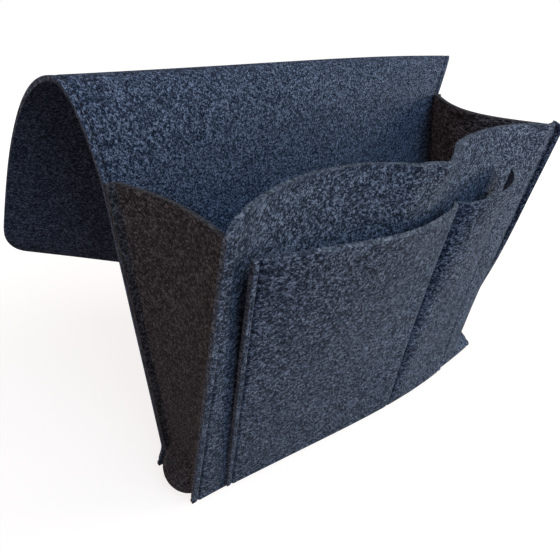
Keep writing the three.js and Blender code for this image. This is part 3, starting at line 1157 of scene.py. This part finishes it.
@dataclass
class GussetStrip:
    """The strip down one side, under the base and up the other: a channel flanged along both panels."""

    cutter: FeltCutter
    bend_steps: int = 5
    web_steps: int = 22
    flange_steps: int = 3
    lead_steps: int = 8
    corner_steps: int = 12
    side_steps: int = 70
    base_steps: int = 80

    @property
    def side_foot(self) -> float:
        """Height where the rounded lower corner ends."""
        return FORM.flange + FORM.corner_radius

    @property
    def corners(self) -> tuple[float, float]:
        """Places across where the rounded lower corner starts, on the back and on the front."""
        front = FORM.half - FORM.flange - FORM.corner_radius
        return front - FORM.ear, front

    @property
    def half_corner(self) -> float:
        """Half the length of the rounded corner along the web."""
        return FORM.corner_radius * math.pi / 4

    def bulge(self, along: float, share: float) -> float:
        """How far the web bulges out near a corner.

        Args:
            along: Length along the strip from the middle of the corner, up the side.
            share: Place across the web, 0 at the back and 1 at the front.

        Returns:
            The distance out of the web's plane.
        """
        above = along - FORM.corner_bulge_rise
        reach = FORM.corner_bulge_run
        if above > 0:
            reach = lerp(FORM.corner_bulge_back, FORM.corner_bulge_front, share)
        crown = math.sin(share * math.pi) ** FORM.corner_bulge_shape
        height = FORM.corner_bulge + FORM.corner_bulge_skew * (1 - share)
        return height * crown * (1 - smooth(abs(above) / reach))

    def section(self, back: tuple[float, float], front: tuple[float, float], outward: tuple[float, float],
                bow: float, along: float, fin: float = 0.0) -> list[Vector]:
        """One cross-section of the channel, from the back flange's edge to the front flange's edge.

        Args:
            back: X and Z of the web's end on the back panel.
            front: X and Z of the web's end on the front panel.
            outward: Direction of the flanges, in X and Z.
            bow: How far the web's middle is drawn in.
            along: Length along the strip from the middle of the corner.
            fin: Turn of the front's seam.

        Returns:
            The points of the mid-line.
        """
        def point(out: float, share: float, y: float) -> Vector:
            """Point at a share of the web, moved out from it."""
            x, z = (lerp(back[k], front[k], share) + outward[k] * out for k in (0, 1))
            return Vector((x, y, z))

        def flange_y(out: float) -> float:
            """Y of the front flange at a distance out from the web."""
            x, z = front[0] + outward[0] * out, front[1] + outward[1] * out
            return FORM.front_y(x, z) + FORM.front_step(x, z, FORM.felt + FORM.seam_gap * (1 + fin))

        radius = FORM.bend_radius
        reach = FORM.flange - FORM.flange_trim
        back_y = FORM.back_mid - FORM.felt - FORM.seam_gap
        web_from, web_to = back_y - radius, flange_y(0) + radius
        flange = shares(self.flange_steps)[:-1]
        turns = [share * math.pi / 2 for share in shares(self.bend_steps)]
        points = [point(lerp(reach, radius, share), 0, back_y) for share in flange]
        points += [point(radius * (1 - math.sin(a)), 0, back_y - radius * (1 - math.cos(a))) for a in turns]
        for share in shares(self.web_steps)[1:-1]:
            out = self.bulge(along, share) - bow * math.sin(share * math.pi)
            points.append(point(out, share, lerp(web_from, web_to, share)))
        for a in turns:
            out = radius * (1 - math.cos(a))
            points.append(point(out, 1, lerp(web_to, flange_y(out), math.sin(a))))
        outs = [lerp(reach * math.cos(fin), radius, share) for share in reversed(flange)]
        points += [point(out, 1, flange_y(out)) for out in outs]
        return points

    def gusset(self, side: SideProfile) -> list[list[Vector]]:
        """Sections of one side, from the base round the corner to the top."""
        sections = []
        for share in shares(self.lead_steps)[:-1]:
            lead = lerp(FORM.gusset_lead, 0, share)
            back, front = ((side.sign * (x - lead), FORM.flange) for x in self.corners)
            sections.append(self.section(back, front, (0, -1), 0, -self.half_corner - lead))
        for share in shares(self.corner_steps):
            a = lerp(math.pi / 2, 0, share)
            outward = (side.sign * math.cos(a), -math.sin(a))
            z = self.side_foot + FORM.corner_radius * outward[1]
            back, front = ((side.sign * x + FORM.corner_radius * outward[0], z) for x in self.corners)
            along = self.half_corner - a * FORM.corner_radius
            sections.append(self.section(back, front, outward, 0, along))
        for share in shares(self.side_steps)[1:]:
            back = lerp(self.side_foot, side.gusset_back, share)
            front = lerp(self.side_foot, FORM.front_height - side.gusset_drop, share)
            sections.append(self.section(
                (side.sign * (FORM.back_half(side, back) - FORM.flange), back),
                (side.sign * FORM.seam_half, front), (side.sign, 0), side.gusset_bow * share,
                self.half_corner + front - self.side_foot, FORM.fin_angle(side, front)))
        return sections

    def base(self) -> list[list[Vector]]:
        """Sections of the base, from left to right."""
        sections = []
        lead = FORM.gusset_lead + FORM.clear
        for share in shares(self.base_steps):
            across = lerp(-1, 1, share)
            back, front = ((across * (x - lead), FORM.flange) for x in self.corners)
            to_corner = self.corners[1] - abs(front[0])
            sections.append(self.section(back, front, (0, -1), 0, -self.half_corner - to_corner))
        return sections

    def cut(self, name: str, sections: list[list[Vector]], mirrored: bool) -> bpy.types.Object:
        """Cut one stretch of the strip from its sections."""
        last = len(sections[0]) - 1

        def place(column: float, row: float) -> Vector:
            """Point of a section by its number."""
            points = sections[round(row)]
            return points[last - round(column)] if mirrored else points[round(column)]

        columns, rows = range(last + 1), range(len(sections))
        # The strip is cut from the charcoal felt, whose darker, warmer colour is painted shade on the navy
        # felt.
        return self.cutter.cut(name, columns, rows, place, lambda column, row: 0.0, Felt.CHARCOAL_PAINTED_SHADE)

    def share_of_depth(self, place: Vector) -> float:
        """Where a point of the gusset lies between the back, at 0, and the front, at 1."""
        x, y, z = (place - FORM.placed(Vector())) / MM
        inset = FORM.felt + FORM.seam_gap
        depth = FORM.back_mid - FORM.front_y(x, z) - 2 * inset
        return clamp01((FORM.back_mid - y - inset) / depth)

    def join_panels(self, piece: bpy.types.Object) -> None:
        """Set each point of a gusset for a moment to its eased share of the depth between the back and the
        front, bake the piece's place into it, and set the points back.

        Args:
            piece: The gusset. Its points are laid out by their shares while its place is baked.
        """
        vertices = piece.data.vertices
        places = [vertex.co.copy() for vertex in vertices]
        for vertex, place in zip(vertices, places):
            vertex.co = (0.0, eased_back(self.share_of_depth(place)), 0.0)
        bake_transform(piece)
        for vertex, place in zip(vertices, places):
            vertex.co = place

    def build(self) -> None:
        """Make the two gussets and the base, and join the base to the back."""
        for side, name in ((LEFT, "left_gusset"), (RIGHT, "right_gusset")):
            piece = self.cut(f"{name}_felt", self.gusset(side), side.sign < 0)
            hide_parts(name)
            self.join_panels(piece)
        base = self.cut("base_felt", self.base(), False)
        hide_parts("base_strip")
        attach(base, "back")


@dataclass(frozen=True)
class Lamp:
    """A soft square lamp, turned to the caddy, with its place and size in metres and its power in watts."""

    name: str
    at: Triple
    size: float
    power: float
    colour: Triple

    def hang(self) -> None:
        """Hang the lamp in the studio."""
        data = bpy.data.lights.new(self.name, "AREA")
        data.size = self.size
        data.energy = self.power
        data.color = self.colour
        aim(put(self.name, data), self.at, -Vector(self.at))


@dataclass
class Studio:
    """Pale floor, soft lights and the camera at the photograph's angle."""

    floor_z: float
    camera_at: Triple = (-0.2598, -0.3083, 0.1844)
    azimuth: float = -42.53
    elevation: float = 32.06
    focal_px: float = 528.04
    centre_px: tuple[float, float] = (334.01, 347.7)
    frame_px: float = 560.0
    sensor: float = 36.0
    clip_start: float = 0.01
    floor_size: float = 60.0
    paper: Colour = (0.36, 0.31, 0.28, 1)
    white: Colour = (1, 1, 1, 1)
    white_near: float = 0.78
    white_from_to: tuple[float, float] = (0.2, 1.1)
    room: Colour = (0.044, 0.037, 0.034, 1)
    lamps: tuple[Lamp, ...] = (
        Lamp("key", (0.72, -0.70, 0.18), 0.45, 10.6, (1.0, 0.86, 0.66)),
        Lamp("top", (0.0, -1.7, 1.42), 1.2, 37.5, (0.57, 0.80, 1.04)),
        Lamp("rear", (0.7, 1.7, 1.0), 1.2, 11.0, (0.88, 0.93, 1.0)),
        Lamp("fill", (-1.8, -0.5, 1.0), 1.6, 18.0, (1.0, 0.77, 0.72)),
    )

    def camera(self) -> None:
        """Set up the camera."""
        data = bpy.data.cameras.new("photo_camera")
        data.sensor_width = self.sensor
        data.lens = self.focal_px / self.frame_px * self.sensor
        middle = self.frame_px / 2
        data.shift_x = (middle - self.centre_px[0]) / self.frame_px
        data.shift_y = (self.centre_px[1] - middle) / self.frame_px
        data.clip_start = self.clip_start
        camera = put("photo_camera", data)
        a, e = math.radians(self.azimuth), math.radians(self.elevation)
        back = Vector((math.sin(a) * math.cos(e), -math.cos(a) * math.cos(e), math.sin(e)))
        aim(camera, self.camera_at, -back)
        bpy.context.scene.camera = camera

    def floor(self) -> None:
        """Lay the floor, white to the camera, which keeps the caddy's shadow."""
        bm = bmesh.new()
        bmesh.ops.create_grid(bm, x_segments=1, y_segments=1, size=self.floor_size / 2)
        floor = put("floor", mesh_of("floor", bm))
        floor.location.z = self.floor_z
        paper = bpy.data.materials.new("studio_paper")
        bench = NodeBench(paper)
        matte = bench.add("ShaderNodeBsdfDiffuse", {"Color": self.paper})
        place = bench.add("ShaderNodeTexCoord").outputs["Object"]
        reach = bench.add("ShaderNodeVectorMath", {0: place}, operation="LENGTH")
        away = bench.step(reach.outputs["Value"], *self.white_from_to)
        white = bench.math("ADD", self.white_near, bench.math("MULTIPLY", away, 1 - self.white_near))
        glow = bench.add("ShaderNodeEmission", {"Strength": bench.math("MULTIPLY", bench.seen(), white)})
        both = bench.add("ShaderNodeAddShader", {0: matte.outputs["BSDF"], 1: glow.outputs["Emission"]})
        bench.add("ShaderNodeOutputMaterial", {"Surface": both.outputs["Shader"]})
        floor.data.materials.append(paper)
        floor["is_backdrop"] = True

    def light(self) -> None:
        """Light the caddy: a warm key at the right, a cool top, a rear lamp, a warm fill and a dim room."""
        for lamp in self.lamps:
            lamp.hang()
        world = bpy.data.worlds.new("studio_room")
        bench = NodeBench(world)
        room, white = (
            bench.add("ShaderNodeBackground", {"Color": colour}).outputs["Background"]
            for colour in (self.room, self.white)
        )
        mix = bench.add("ShaderNodeMixShader", {"Fac": bench.seen(), 1: room, 2: white})
        bench.add("ShaderNodeOutputWorld", {"Surface": mix.outputs["Shader"]})
        bpy.context.scene.world = world

    def set_up(self) -> None:
        """Set up the whole studio."""
        self.camera()
        self.floor()
        self.light()
        bpy.context.scene.view_settings.view_transform = "Standard"


def clear_scene() -> None:
    """Take away the objects that a new file starts with."""
    for thing in list(bpy.data.objects):
        bpy.data.objects.remove(thing)


def main() -> None:
    """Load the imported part, dress it and report each piece."""
    logging.basicConfig(level=logging.INFO, format="%(name)s: %(message)s")
    clear_scene()
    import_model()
    cad_box = [list(corner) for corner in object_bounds()]
    stock = FeltStock()
    cutter = FeltCutter(stock)
    sewer = Sewer(stock)
    BackSheet(cutter, sewer).build()
    FrontPanel(cutter, sewer).build()
    PocketPanel(cutter, sewer).build()
    GussetStrip(cutter).build()
    Studio(floor_z=cad_box[0][2]).set_up()
    bpy.context.view_layer.update()


if __name__ == "__main__":
    main()
